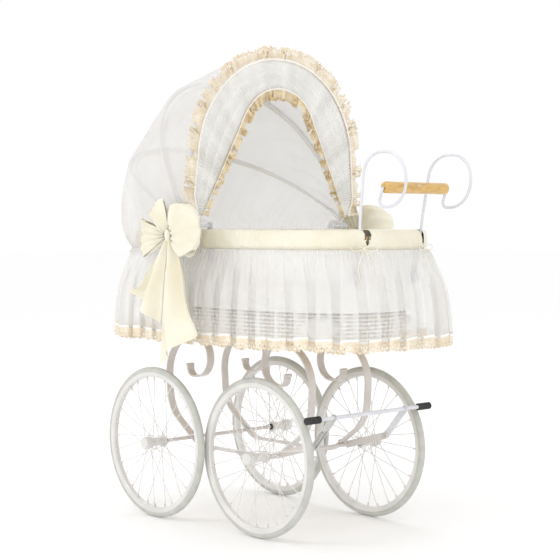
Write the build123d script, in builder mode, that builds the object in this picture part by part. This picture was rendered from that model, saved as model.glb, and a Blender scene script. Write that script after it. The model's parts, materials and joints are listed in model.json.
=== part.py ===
"""Retro wicker bassinet pram: four spoked wheels, scroll-spring side frames, a wicker basket
with a padded rim and a gathered skirt, a folding fabric hood, a foot brake and a push handle.

Frame: +X points to the handle end, -X to the hood end, +Z up, millimetres. The origin is on the
floor under the middle of the pram's overall box. "left" is the -Y side, as seen by the pusher.
"""
import os
from math import atan2, cos, degrees, hypot, pi, radians, sin

from build123d import *

os.makedirs("parts", exist_ok=True)

# ---------------------------------------------------------------- driving dimensions
CHASSIS_X = -77.3          # the point midway between the axles
WHEELBASE = 377.0
WHEEL_R = 200.0            # a 16 inch pram wheel
FRONT_WHEEL_Y = 224.7      # wheel planes: the hood end has the wider track
REAR_WHEEL_Y = 198.5

TYRE_SECTION_R = 9.0
TYRE_PITCH_R = WHEEL_R - TYRE_SECTION_R
RIM_BORE_R = 174.0
RIM_EDGE_R = 187.0
RIM_HALF_W = 8.6
SPOKES = 28
SPOKE_R = 1.0
SPOKE_SWEEP = radians(62)  # how far each spoke leans from the radius, seen at the hub
HUB_R = 11.0
HUB_FLANGE_R = 15.0
HUB_FLANGE_W = 7.6
HUB_INNER = -30.7          # measured outwards from the wheel's middle plane
HUB_OUTER = 30.0
FLANGE_AT = (-26.0, 19.0)
CAP_R = 16.0
CAP_FROM = 23.5
CAP_END = 40.3

AXLE_R = 5.0
AXLE_RUNNING = 0.05        # radial clearance of a hub or lever on its pin
AXLE_Z = WHEEL_R
WASHER_R = 8.5
WASHER_T = 4.0

STRAP_W = 22.0             # scroll frames are flat steel straps on edge
STRAP_T = 4.5
STRAP_Y = 100.0
RAIL_Z = 482.4             # underside of the rails that carry the basket
RAIL_T = 4.0
RAIL_AT = 176.0            # scroll crowns, from the chassis middle
BOLT_R = 3.0
BOLT_HEAD_R = 6.0

BRAKE_PIVOT = (320.0, 237.0)       # from the chassis middle, and height
BRAKE_BAR = (385.0, 312.5)
BRAKE_BAR_R = 5.0
BRAKE_PAD_R = 9.0
BRAKE_PAD_FROM = 175.0
BRAKE_END = 222.0
BRACKET_Y = 122.5
BRACKET_T = 4.0
BRACKET_W = 18.0
LEVER_Y = 127.6
LEVER_W = 17.0
PIVOT_R = 3.0
SPRING_Y = 139.5
SPRING_R = 4.5
SPRING_WIRE_R = 0.9
SPRING_TOP = (372.5, 291.0)
SPRING_FOOT = (306.0, 213.5)

BASKET_X = CHASSIS_X + 35.0
PLAN_POWER = 3.0           # the plan is a superellipse
WALL_TOP = (418.0, 213.0)  # outer half length and half width at the top and at the floor
WALL_FOOT = (386.0, 183.0)
WALL_T = 8.0
WALL_TOP_Z = 752.0
FLOOR_Z = RAIL_Z + RAIL_T
FLOOR_T = 8.0
PAD_OUT = (445.0, 240.0)
PAD_IN = (401.0, 196.0)
PAD_LOW_Z = 718.0
PAD_TOP_Z = 766.0
CHANNEL_TAPER = 4.5        # room for the wall's slope inside the pad
CLOTH_GAP = 0.5
LINER_T = 1.5
SKIRT_TOP = (446.0, 241.0)
SKIRT_HEM = (485.0, 280.0)
SKIRT_TOP_Z = PAD_LOW_Z - CLOTH_GAP
SKIRT_HEM_Z = 503.0
LACE_HEM_Z = 478.0
CLOTH_T = 2.0

HANDLE_Y = 107.5           # where a handle rod leaves the rim pad
HANDLE_X = CHASSIS_X + 450.0
HANDLE_FOOT_Z = 736.0
HANDLE_SPLAY = 3.1         # degrees that each rod leans outwards
HANDLE_R = 3.5
GRIP_AT = (CHASSIS_X + 532.0, 865.5)
GRIP_R = 14.0
GRIP_HALF = 110.5

HOOD_X = CHASSIS_X + 30.0
HOOD_Z = 775.0
HOOP_R = 2.5
HOOP_STEP = 6.5            # each hoop and its cover nest inside the one behind
FRONT_ARCH = (290.0, 442.0, 255.0)   # half width, height over the pivot, half width at the foot
ARCH_KNEE = 75.0
ARCH_SHOULDER = 0.88        # the arch draws in towards its shoulders to this share of its width
EYE_R = 8.0
EYE_HOLE_R = PIVOT_R + AXLE_RUNNING
COVER_T = 2.0
COVER_FOOT = 20.0
HOOP_ANGLES = (92.0, 60.25, 28.5)    # front, middle and rear, up from the back
COVER_BACK = -7.0
BRIM_AHEAD = 3.6           # the brim stands just in front of the front hoop
BRIM_BASE = 27.0

# ---------------------------------------------------------------- helpers
FRONT_X = CHASSIS_X - WHEELBASE / 2
REAR_X = CHASSIS_X + WHEELBASE / 2


def save(part, name):
    part.part.label = name
    export_step(part.part, f"parts/{name}.step")


def side_plane(y, x=CHASSIS_X):
    """Seen from the left: local x is +X from the given place, local y is height."""
    return Plane(origin=(x, y, 0), x_dir=(1, 0, 0), z_dir=(0, -1, 0))


def plan_points(half, count=48):
    """Points round a superellipse with the given half length and half width."""
    points = []
    for step in range(count):
        turn = 2 * pi * step / count
        reach = (abs(cos(turn) / half[0]) ** PLAN_POWER + abs(sin(turn) / half[1]) ** PLAN_POWER)
        radius = reach ** (-1 / PLAN_POWER)
        points.append((radius * cos(turn), radius * sin(turn)))
    return points


def plan_face(half, z):
    """A flat superellipse centred on the basket."""
    with BuildSketch(Plane(origin=(BASKET_X, 0, z))) as sketch:
        with BuildLine():
            Spline(*plan_points(half), periodic=True)
        make_face()
    return sketch.sketch


def grown(half, by):
    return (half[0] + by, half[1] + by)


def wall_half(z, by=0.0):
    """The wicker wall's outer half sizes at a height, grown by an offset."""
    share = (z - FLOOR_Z) / (WALL_TOP_Z - FLOOR_Z)
    return tuple(low + share * (high - low) + by for low, high in zip(WALL_FOOT, WALL_TOP))


def tapered_ring(outer_low, outer_high, inset, z_low, z_high):
    """A closed ring wall between two heights, inset apart, straight in section."""
    loft([plan_face(outer_low, z_low), plan_face(outer_high, z_high)])
    loft([plan_face(grown(outer_low, -inset), z_low), plan_face(grown(outer_high, -inset), z_high)],
         mode=Mode.SUBTRACT)


# ---------------------------------------------------------------- wheels
def wheel(name, x, y):
    """Tyre, rim, spokes, hub and hub cap of one wheel whose middle plane stands at y."""
    side = 1 if y > 0 else -1
    centre = Vector(x, y, AXLE_Z)
    section = Plane(origin=centre, x_dir=(1, 0, 0), z_dir=(0, 0, side))
    spin = Axis(centre, (0, side, 0))

    with BuildPart() as tyre:
        with BuildSketch(section):
            with Locations((TYRE_PITCH_R, 0)):
                Circle(TYRE_SECTION_R)
        revolve(axis=spin)
    save(tyre, f"{name}_tyre")

    with BuildPart() as rim:
        with BuildSketch(section):
            with BuildLine():
                Polyline((RIM_BORE_R, -RIM_HALF_W + 3), (RIM_BORE_R, RIM_HALF_W - 3),
                         (RIM_BORE_R + 3, RIM_HALF_W), (RIM_EDGE_R, RIM_HALF_W),
                         (RIM_EDGE_R, -RIM_HALF_W), (RIM_BORE_R + 3, -RIM_HALF_W), close=True)
            make_face()
            with Locations((TYRE_PITCH_R, 0)):
                Circle(TYRE_SECTION_R - 0.1, mode=Mode.SUBTRACT)
        revolve(axis=spin)
    save(rim, f"{name}_rim")

    with BuildPart() as spokes:
        for number in range(SPOKES):
            at_rim = 2 * pi * number / SPOKES
            row = number % 2
            lean = 1 if number % 4 < 2 else -1
            at_hub = at_rim + lean * SPOKE_SWEEP
            hub_w = FLANGE_AT[row] + lean * 2.6
            rim_w = (2 * row - 1) * 2.2 + lean * 1.1
            start = section.from_local_coords(Vector(0, hub_w, 0))
            start += Vector(cos(at_hub), 0, sin(at_hub)) * (HUB_FLANGE_R - 1.5)
            end = section.from_local_coords(Vector(0, rim_w, 0))
            end += Vector(cos(at_rim), 0, sin(at_rim)) * (RIM_BORE_R + 1.0)
            with BuildSketch(Plane(origin=start, z_dir=end - start)):
                Circle(SPOKE_R)
            extrude(amount=(end - start).length)
    save(spokes, f"{name}_spokes")

    with BuildPart() as hub:
        with BuildSketch(section):
            bore = AXLE_R + AXLE_RUNNING
            with BuildLine():
                Polyline((bore, HUB_INNER), (HUB_R, HUB_INNER), (HUB_R, HUB_OUTER),
                         (bore, HUB_OUTER), close=True)
            make_face()
            for at in FLANGE_AT:
                with Locations(((bore + HUB_FLANGE_R) / 2, at)):
                    RectangleRounded(HUB_FLANGE_R - bore, HUB_FLANGE_W, 1.2)
        revolve(axis=spin)
    save(hub, f"{name}_hub")

    with BuildPart() as cap:
        with BuildSketch(section):
            with BuildLine():
                FilletPolyline((HUB_R, CAP_FROM), (CAP_R, CAP_FROM), (CAP_R, CAP_END), (0, CAP_END),
                               radius=[1.0, 6.0])
                Polyline((0, CAP_END), (0, CAP_END - 4), (HUB_R, CAP_END - 4), (HUB_R, CAP_FROM))
            make_face()
        revolve(axis=spin)
    save(cap, f"{name}_cap")


WHEELS = {
    "front_left": (FRONT_X, -FRONT_WHEEL_Y),
    "front_right": (FRONT_X, FRONT_WHEEL_Y),
    "rear_left": (REAR_X, -REAR_WHEEL_Y),
    "rear_right": (REAR_X, REAR_WHEEL_Y),
}
for wheel_name, wheel_place in WHEELS.items():
    wheel(wheel_name, *wheel_place)

# ---------------------------------------------------------------- axles
AXLES = {"front_axle": (FRONT_X, FRONT_WHEEL_Y), "rear_axle": (REAR_X, REAR_WHEEL_Y)}
for axle_name, (axle_x, wheel_y) in AXLES.items():
    with BuildPart() as axle:
        with BuildSketch(Plane(origin=(axle_x, 0, AXLE_Z), x_dir=(1, 0, 0), z_dir=(0, -1, 0))):
            Circle(AXLE_R)
        extrude(amount=wheel_y + HUB_OUTER + 3, both=True)
    save(axle, axle_name)

with BuildPart() as washers:
    for axle_x, wheel_y in AXLES.values():
        for side in (-1, 1):
            inner_end = side * (wheel_y + HUB_INNER - 0.4)
            with BuildSketch(Plane(origin=(axle_x, inner_end, AXLE_Z), z_dir=(0, -side, 0))):
                Circle(WASHER_R)
                Circle(AXLE_R, mode=Mode.SUBTRACT)
            extrude(amount=WASHER_T)
save(washers, "axle_washers")

# ---------------------------------------------------------------- scroll side frames
SCROLL = [(150.4, 182), (276, 272), (291, 480), (107, 480), (108, 369.5), (194, 369.5), (192, 396)]
SCROLL_BENDS = [60, 100, 110, 60, 50, 22]
SCROLL_SLOPE = atan2(SCROLL[1][1] - SCROLL[0][1], SCROLL[1][0] - SCROLL[0][0])


def side_frame(name, y):
    """One strap, bent from the inner curl of the front scroll to that of the rear scroll."""
    with BuildPart() as frame:
        with BuildSketch(side_plane(y)):
            with BuildLine():
                corners = [(-x, z) for x, z in reversed(SCROLL)] + SCROLL
                FilletPolyline(*corners, radius=SCROLL_BENDS[::-1] + SCROLL_BENDS)
            trace(line_width=STRAP_T)
            for end in (-1, 1):
                with Locations((end * (SCROLL[-1][0] + 2), SCROLL[-1][1] + 2)):
                    Circle(STRAP_T)
        extrude(amount=STRAP_W / 2, both=True)
    save(frame, name)


side_frame("left_side_frame", -STRAP_Y)
side_frame("right_side_frame", STRAP_Y)

with BuildPart() as rails:
    with BuildSketch(Plane.XY.offset(RAIL_Z)):
        for end in (-1, 1):
            with Locations((CHASSIS_X + end * RAIL_AT, 0)):
                SlotOverall(2 * STRAP_Y + 2 * STRAP_W, STRAP_W, rotation=90)
    extrude(amount=RAIL_T)
save(rails, "cross_rails")

with BuildPart() as bolts:
    for axle_x, direction in ((FRONT_X, -1), (REAR_X, 1)):
        lean = Vector(-direction * sin(SCROLL_SLOPE), 0, cos(SCROLL_SLOPE))
        for side in (-1, 1):
            foot = Vector(axle_x, side * STRAP_Y, AXLE_Z)
            with BuildSketch(Plane(origin=foot, z_dir=lean)):
                Circle(BOLT_R)
            extrude(amount=13)
            with BuildSketch(Plane(origin=foot + lean * 12, z_dir=lean)):
                Circle(BOLT_HEAD_R)
            extrude(amount=3.2, taper=20)
save(bolts, "frame_bolts")

# ---------------------------------------------------------------- foot brake
with BuildPart() as brackets:
    for side in (-1, 1):
        with BuildSketch(side_plane(side * BRACKET_Y)):
            run = (BRAKE_PIVOT[0] - WHEELBASE / 2, BRAKE_PIVOT[1] - AXLE_Z)
            middle = (WHEELBASE / 2 + run[0] / 2, AXLE_Z + run[1] / 2)
            with Locations(middle):
                SlotCenterToCenter(hypot(*run), BRACKET_W, rotation=degrees(atan2(run[1], run[0])))
            with Locations((WHEELBASE / 2, AXLE_Z)):
                Circle(AXLE_R, mode=Mode.SUBTRACT)
            with Locations(BRAKE_PIVOT):
                Circle(PIVOT_R, mode=Mode.SUBTRACT)
        extrude(amount=BRACKET_T / 2, both=True)
save(brackets, "brake_brackets")

with BuildPart() as levers:
    for side in (-1, 1):
        with BuildSketch(side_plane(side * LEVER_Y)):
            run = (BRAKE_BAR[0] - BRAKE_PIVOT[0], BRAKE_BAR[1] - BRAKE_PIVOT[1])
            middle = (BRAKE_PIVOT[0] + run[0] / 2, BRAKE_PIVOT[1] + run[1] / 2)
            with Locations(middle):
                SlotCenterToCenter(hypot(*run), LEVER_W, rotation=degrees(atan2(run[1], run[0])))
            with Locations(BRAKE_PIVOT):
                Circle(EYE_HOLE_R, mode=Mode.SUBTRACT)
            with Locations(BRAKE_BAR):
                Circle(BRAKE_BAR_R, mode=Mode.SUBTRACT)
        extrude(amount=BRACKET_T / 2, both=True)
save(levers, "brake_levers")

with BuildPart() as brake_bar:
    with BuildSketch(side_plane(0)):
        with Locations(BRAKE_BAR):
            Circle(BRAKE_BAR_R)
    extrude(amount=BRAKE_END - 4, both=True)
save(brake_bar, "brake_bar")

with BuildPart() as pads:
    for side in (-1, 1):
        start = Vector(CHASSIS_X + BRAKE_BAR[0], side * BRAKE_PAD_FROM, BRAKE_BAR[1])
        with BuildSketch(Plane(origin=start, x_dir=(1, 0, 0), z_dir=(0, side, 0))):
            Circle(BRAKE_PAD_R)
        extrude(amount=BRAKE_END - BRAKE_PAD_FROM)
    fillet(pads.edges().filter_by(GeomType.CIRCLE), radius=2.5)
    for side in (-1, 1):
        start = Vector(CHASSIS_X + BRAKE_BAR[0], side * BRAKE_PAD_FROM, BRAKE_BAR[1])
        with BuildSketch(Plane(origin=start, x_dir=(1, 0, 0), z_dir=(0, side, 0))):
            Circle(BRAKE_BAR_R)
        extrude(amount=BRAKE_END - 4 - BRAKE_PAD_FROM, mode=Mode.SUBTRACT)
save(pads, "brake_pads")

with BuildPart() as pivots:
    for side in (-1, 1):
        inner = side * (BRACKET_Y - BRACKET_T / 2)
        start = Vector(CHASSIS_X + BRAKE_PIVOT[0], inner, BRAKE_PIVOT[1])
        with BuildSketch(Plane(origin=start, x_dir=(1, 0, 0), z_dir=(0, side, 0))):
            Circle(PIVOT_R)
        extrude(amount=12.5)
        with BuildSketch(Plane(origin=start, x_dir=(1, 0, 0), z_dir=(0, -side, 0))):
            RegularPolygon(6.0, 6)
        extrude(amount=4.5)
        head = start + Vector(0, side * 9.6, 0)
        with BuildSketch(Plane(origin=head, x_dir=(1, 0, 0), z_dir=(0, side, 0))):
            Circle(5.5)
        extrude(amount=3.2, taper=18)
save(pivots, "brake_pivot_bolts")

with BuildPart() as spring:
    run = (SPRING_TOP[0] - SPRING_FOOT[0], SPRING_TOP[1] - SPRING_FOOT[1])
    middle = (SPRING_FOOT[0] + run[0] / 2, SPRING_FOOT[1] + run[1] / 2)
    length = hypot(*run)
    start = Vector(CHASSIS_X + SPRING_FOOT[0], -SPRING_Y, SPRING_FOOT[1])
    along = Vector(run[0], 0, run[1]) * (1 / length)
    with BuildSketch(Plane(origin=start + along * 10, z_dir=along)):
        Circle(SPRING_R)
        Circle(SPRING_R - 2 * SPRING_WIRE_R, mode=Mode.SUBTRACT)
    extrude(amount=length - 20)
save(spring, "brake_spring")

# ---------------------------------------------------------------- basket
with BuildPart() as basket:
    loft([plan_face(WALL_FOOT, FLOOR_Z), plan_face(WALL_TOP, WALL_TOP_Z)])
    loft([plan_face(wall_half(FLOOR_Z + FLOOR_T, -WALL_T), FLOOR_Z + FLOOR_T),
          plan_face(grown(WALL_TOP, -WALL_T), WALL_TOP_Z)], mode=Mode.SUBTRACT)
save(basket, "wicker_basket")

BOARD_Z = FLOOR_Z + FLOOR_T
BOARD_T = 4.0
with BuildPart() as board:
    extrude(plan_face(wall_half(BOARD_Z, -WALL_T - 3), BOARD_Z), amount=BOARD_T)
save(board, "base_board")

LINER_LOW_Z = BOARD_Z + BOARD_T
with BuildPart() as liner:
    inside = -WALL_T - CLOTH_GAP
    tapered_ring(wall_half(LINER_LOW_Z, inside), wall_half(PAD_LOW_Z - 1, inside), LINER_T,
                 LINER_LOW_Z, PAD_LOW_Z - 1)
save(liner, "basket_liner")

MATTRESS_T = 62.0
with BuildPart() as mattress:
    extrude(plan_face(wall_half(LINER_LOW_Z, -WALL_T - 5), LINER_LOW_Z), amount=MATTRESS_T)
    fillet(mattress.edges().group_by(Axis.Z)[-1], radius=12)
save(mattress, "mattress")

BEDDING_Z = LINER_LOW_Z + MATTRESS_T + CLOTH_GAP
with BuildPart() as pillow:
    with BuildSketch(Plane.XY.offset(BEDDING_Z)):
        with Locations((BASKET_X - 235, 0)):
            RectangleRounded(190, 280, 40)
    extrude(amount=52)
    fillet(pillow.edges().group_by(Axis.Z)[-1], radius=22)
save(pillow, "pillow")

with BuildPart() as quilt:
    with BuildSketch(Plane.XY.offset(BEDDING_Z)):
        with Locations((BASKET_X + 115, 0)):
            RectangleRounded(430, 290, 60)
    extrude(amount=34)
    fillet(quilt.edges().group_by(Axis.Z)[-1], radius=14)
save(quilt, "quilt")

with BuildPart() as rim_pad:
    pad_height = PAD_TOP_Z - PAD_LOW_Z
    extrude(plan_face(PAD_OUT, PAD_LOW_Z), amount=pad_height)
    extrude(plan_face(PAD_IN, PAD_LOW_Z), amount=pad_height, mode=Mode.SUBTRACT)
    # the channel that sits over the wicker wall
    with BuildSketch(Plane(origin=(BASKET_X, 0, PAD_LOW_Z))):
        with BuildLine():
            Spline(*plan_points(grown(WALL_TOP, CLOTH_GAP)), periodic=True)
        make_face()
        with BuildLine():
            Spline(*plan_points(grown(WALL_TOP, -WALL_T - CHANNEL_TAPER)), periodic=True)
        make_face(mode=Mode.SUBTRACT)
    extrude(amount=WALL_TOP_Z + CLOTH_GAP - PAD_LOW_Z, mode=Mode.SUBTRACT)
    # slits for the handle rods at the foot end, and for the hood brackets at the sides
    with BuildSketch(Plane.XY.offset(PAD_LOW_Z)):
        for side in (-1, 1):
            with Locations((HANDLE_X + 3, side * HANDLE_Y)):
                Rectangle(54, 15)
            with Locations((HOOD_X, side * (WALL_TOP[1] + 1))):
                Rectangle(26, 11)
    extrude(amount=pad_height, mode=Mode.SUBTRACT)
save(rim_pad, "rim_pad")

with BuildPart() as skirt:
    tapered_ring(SKIRT_HEM, SKIRT_TOP, CLOTH_T, SKIRT_HEM_Z, SKIRT_TOP_Z)
save(skirt, "skirt")

with BuildPart() as hem_lace:
    tapered_ring(grown(SKIRT_HEM, 4), SKIRT_HEM, CLOTH_T, LACE_HEM_Z, SKIRT_HEM_Z - CLOTH_GAP)
save(hem_lace, "hem_lace")

# ---------------------------------------------------------------- side bows
BOW_AT = (15.0, 752.0)     # knot, from the chassis middle, and height
BOW_IN = 323.0
BOW_T = 28.0
LOOP = [(0, 14), (38, 66), (88, 84), (118, 38), (112, -22), (70, -50), (26, -34), (0, -12)]
TAILS = [[(-10, 0), (-62, -90), (-142, -164), (-118, -186), (-52, -188), (4, -30)],
         [(4, -6), (-30, -170), (-62, -318), (8, -268), (92, -246), (40, -110), (14, -20)]]


def bow(name, side):
    with BuildPart() as ribbon:
        plane = Plane(origin=(CHASSIS_X + BOW_AT[0], side * BOW_IN, BOW_AT[1]), x_dir=(1, 0, 0),
                      z_dir=(0, side, 0))
        up = 1 if side < 0 else -1   # local y points down on the right side
        with BuildSketch(plane):
            for way in (-1, 1):
                with BuildLine():
                    Polyline(*[(way * px, up * pz) for px, pz in LOOP], close=True)
                make_face()
        extrude(amount=BOW_T)
        with BuildSketch(plane):
            for tail in TAILS:
                with BuildLine():
                    Polyline(*[(px, up * pz) for px, pz in tail], close=True)
                make_face()
        extrude(amount=6)
        neck = Plane(origin=(CHASSIS_X + BOW_AT[0], side * (PAD_OUT[1] + CLOTH_GAP), BOW_AT[1] - 4),
                     x_dir=(1, 0, 0), z_dir=(0, side, 0))
        with BuildSketch(neck):
            RectangleRounded(34, 24, 6)
        extrude(amount=BOW_IN + BOW_T + 3 - PAD_OUT[1])
    save(ribbon, name)


bow("left_bow", -1)
bow("right_bow", 1)

# ---------------------------------------------------------------- push handle
with BuildPart() as ties:
    for side in (-1, 1):
        with BuildSketch(side_plane(side * HANDLE_Y)):
            with BuildLine():
                Polyline((473, 730), (478, 730), (497, 622), (495, 622), close=True)
            make_face()
        extrude(amount=14, both=True)
save(ties, "handle_ties")


def handle_rod(name, side):
    tilt = radians(HANDLE_SPLAY)
    plane = Plane(origin=(CHASSIS_X, side * HANDLE_Y, HANDLE_FOOT_Z), x_dir=(1, 0, 0),
                  z_dir=(0, -cos(tilt), side * sin(tilt)))
    with BuildPart() as rod:
        with BuildLine(plane) as route:
            FilletPolyline((437, -104), (450, -4), (456, 60), (478, 212), (605, 212), (605, 84),
                           (514, 84), (532, 129.7), radius=[90, 200, 61, 61, 61, 13])
        with BuildSketch(Plane(origin=route.line @ 0, z_dir=route.line % 0)):
            Circle(HANDLE_R)
        sweep()
    save(rod, name)
    return rod.part


handle_rods = [handle_rod("left_handle_rod", -1), handle_rod("right_handle_rod", 1)]

with BuildPart() as grip:
    with BuildSketch(side_plane(0, 0)):
        with Locations(GRIP_AT):
            Circle(GRIP_R)
    extrude(amount=GRIP_HALF, both=True)
    fillet(grip.edges().filter_by(GeomType.CIRCLE), radius=7)
    with BuildSketch(side_plane(0, 0)):
        with Locations(GRIP_AT):
            Circle(3.0)
    extrude(amount=GRIP_HALF, both=True, mode=Mode.SUBTRACT)
save(grip, "wooden_grip")

with BuildPart() as spindle:
    with BuildSketch(side_plane(0, 0)):
        with Locations(GRIP_AT):
            Circle(3.0)
    extrude(amount=GRIP_HALF + 2, both=True)
save(spindle, "grip_spindle")

CLIP_Z = 650.0
with BuildPart() as clips:
    for side in (-1, 1):
        rod_y = side * (HANDLE_Y - (HANDLE_FOOT_Z - CLIP_Z) * sin(radians(HANDLE_SPLAY)))
        with BuildSketch(Plane.XY.offset(CLIP_Z - 9)):
            with Locations((CHASSIS_X + 433.5, rod_y)):
                Rectangle(22, 20)
        extrude(amount=18)
    loft([plan_face(wall_half(z, 0.2), z) for z in (CLIP_Z - 12, CLIP_Z + 12)], mode=Mode.SUBTRACT)
    add(handle_rods, mode=Mode.SUBTRACT)
save(clips, "handle_clips")

# ---------------------------------------------------------------- hood
HOOD_AXIS = Axis((HOOD_X, 0, HOOD_Z), (0, 1, 0))


def hood_plane(angle, ahead=0.0):
    """Across the pram through the hood pivots: local x is +Y, local y leaves the pivots."""
    tilt = radians(angle)
    normal = Vector(sin(tilt), 0, cos(tilt))
    origin = Vector(HOOD_X, 0, HOOD_Z) + normal * ahead
    return Plane(origin=origin, x_dir=(0, 1, 0), z_dir=normal)


def arch_line(layer, foot_height):
    """One hoop's centre line: layer 0 is the front hoop, the rear hoop is outermost."""
    grow = layer * HOOP_STEP
    half, top, foot = (size + grow for size in FRONT_ARCH)
    share = (foot_height - EYE_R) / (ARCH_KNEE - EYE_R)
    start = foot + share * (half - foot)
    shoulder = ARCH_SHOULDER * half
    FilletPolyline((-start, foot_height), (-half, ARCH_KNEE), (-shoulder, top), (shoulder, top),
                   (half, ARCH_KNEE), (start, foot_height), radius=[60, 276, 276, 60])


def hoop(name, layer, angle):
    with BuildPart() as wire:
        with BuildLine(hood_plane(angle)) as route:
            arch_line(layer, EYE_R - 2)
        with BuildSketch(Plane(origin=route.line @ 0, z_dir=route.line % 0)):
            Circle(HOOP_R)
        sweep()
        for side in (-1, 1):
            eye = Vector(HOOD_X, side * (FRONT_ARCH[2] + layer * HOOP_STEP) - 2, HOOD_Z)
            with BuildSketch(Plane(origin=eye, z_dir=(0, 1, 0))):
                Circle(EYE_R)
            extrude(amount=4)
            with BuildSketch(Plane(origin=eye - Vector(0, 3, 0), z_dir=(0, 1, 0))):
                Circle(EYE_HOLE_R)
            extrude(amount=10, mode=Mode.SUBTRACT)
    save(wire, name)


def cover(name, layer, low, high):
    with BuildPart() as shell:
        with BuildSketch(hood_plane(low)):
            with BuildLine():
                arch_line(layer, COVER_FOOT)
            trace(line_width=COVER_T)
        revolve(axis=HOOD_AXIS, revolution_arc=high - low)
    save(shell, name)


def arch_face(ahead, half, top, foot, base, corner):
    """A filled arch in the brim's plane."""
    with BuildSketch(hood_plane(HOOP_ANGLES[0], ahead)) as sketch:
        with BuildLine():
            shoulder = ARCH_SHOULDER * half
            FilletPolyline((-foot, base), (-half, ARCH_KNEE), (-shoulder, top), (shoulder, top),
                           (half, ARCH_KNEE), (foot, base), radius=[50, corner, corner, 50])
            Line((foot, base), (-foot, base))
        make_face()
    return sketch.sketch


def opening_face(ahead, grow, base=BRIM_BASE - 3):
    """The pointed opening that the brim leaves, grown outwards, less so at its foot."""
    foot = 245 + grow * 0.4
    crown = (67 + grow * 0.55, 332 + grow)
    with BuildSketch(hood_plane(HOOP_ANGLES[0], ahead)) as sketch:
        with BuildLine():
            FilletPolyline((-foot, base), (-crown[0], crown[1]), crown, (foot, base),
                           radius=[112 + grow * 0.8, 112 + grow * 0.8])
            Line((foot, base), (-foot, base))
        make_face()
    return sketch.sketch


hoop("front_hoop", 0, HOOP_ANGLES[0])
hoop("middle_hoop", 1, HOOP_ANGLES[1])
hoop("rear_hoop", 2, HOOP_ANGLES[2])
cover("front_cover", 0, HOOP_ANGLES[1], HOOP_ANGLES[0])
cover("middle_cover", 1, HOOP_ANGLES[2], HOOP_ANGLES[1])
cover("rear_cover", 2, COVER_BACK, HOOP_ANGLES[2])

with BuildPart() as band:
    extrude(arch_face(BRIM_AHEAD, 282, 434, 262, BRIM_BASE, 268), amount=4)
    extrude(opening_face(BRIM_AHEAD, 22), amount=4, mode=Mode.SUBTRACT)
save(band, "brim_band")

with BuildPart() as outer_lace:
    extrude(arch_face(BRIM_AHEAD, 318, 470, 300, BRIM_BASE, 290), amount=9)
    extrude(arch_face(BRIM_AHEAD, 282.6, 434.6, 262.6, BRIM_BASE - 3, 268), amount=9,
            mode=Mode.SUBTRACT)
save(outer_lace, "brim_outer_lace")

with BuildPart() as inner_lace:
    lace_ahead = BRIM_AHEAD + 4.4
    extrude(opening_face(lace_ahead, 34, BRIM_BASE), amount=7)
    extrude(opening_face(lace_ahead, 0), amount=7, mode=Mode.SUBTRACT)
save(inner_lace, "brim_inner_lace")

with BuildPart() as hood_pivots:
    pin_end = FRONT_ARCH[2] + 2 * HOOP_STEP + 2.5
    plate_y = WALL_TOP[1] + 1.5
    for side in (-1, 1):
        with BuildSketch(Plane(origin=(0, side * plate_y, 0), x_dir=(1, 0, 0), z_dir=(0, side, 0))):
            up = -side
            with Locations((HOOD_X, up * (HOOD_Z - 42))):
                SlotCenterToCenter(84, 20, rotation=90)
        extrude(amount=3)
        foot = Vector(HOOD_X, side * plate_y, HOOD_Z)
        with BuildSketch(Plane(origin=foot, x_dir=(1, 0, 0), z_dir=(0, side, 0))):
            Circle(PIVOT_R)
        extrude(amount=pin_end - plate_y)
        head = Vector(HOOD_X, side * pin_end, HOOD_Z)
        with BuildSketch(Plane(origin=head, x_dir=(1, 0, 0), z_dir=(0, side, 0))):
            Circle(6.5)
        extrude(amount=4)
save(hood_pivots, "hood_pivots")
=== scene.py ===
"""The looks of a retro wicker bassinet pram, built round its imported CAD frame. All in metres.

+X is the handle end, -X the hood end, +Z up. Cloth is made as grids: rows run along the cloth,
columns round the pram, so that gathers, folds and lace follow the shape they are sewn to.
"""
import json
from math import cos, pi, radians, sin

import bmesh
import bpy
import numpy as np
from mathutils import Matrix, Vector


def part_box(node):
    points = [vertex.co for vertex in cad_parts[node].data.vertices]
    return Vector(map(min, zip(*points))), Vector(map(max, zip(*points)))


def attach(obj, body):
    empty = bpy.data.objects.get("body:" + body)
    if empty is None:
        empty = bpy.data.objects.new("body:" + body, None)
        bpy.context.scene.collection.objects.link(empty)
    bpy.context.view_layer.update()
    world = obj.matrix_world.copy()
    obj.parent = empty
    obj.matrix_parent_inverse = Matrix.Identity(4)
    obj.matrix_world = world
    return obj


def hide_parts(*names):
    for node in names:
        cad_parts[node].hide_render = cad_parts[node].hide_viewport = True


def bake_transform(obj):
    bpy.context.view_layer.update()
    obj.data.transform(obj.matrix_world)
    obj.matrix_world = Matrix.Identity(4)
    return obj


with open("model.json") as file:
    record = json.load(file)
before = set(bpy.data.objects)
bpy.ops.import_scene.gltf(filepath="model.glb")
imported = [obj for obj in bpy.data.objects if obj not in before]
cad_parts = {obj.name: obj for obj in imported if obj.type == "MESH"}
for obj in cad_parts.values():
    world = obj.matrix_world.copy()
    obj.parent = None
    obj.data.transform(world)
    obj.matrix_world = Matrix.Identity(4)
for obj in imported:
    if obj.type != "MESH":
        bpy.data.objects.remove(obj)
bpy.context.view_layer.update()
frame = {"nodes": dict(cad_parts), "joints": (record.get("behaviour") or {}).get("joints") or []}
NODES = frame["nodes"]
JOINTS = {joint["name"]: joint for joint in frame["joints"]}

# ---------------------------------------------------------------- places taken from the frame
pad_low, pad_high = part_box("rim_pad")
skirt_low, skirt_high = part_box("skirt")
lace_low, lace_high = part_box("hem_lace")
wall_low, wall_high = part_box("wicker_basket")

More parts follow.
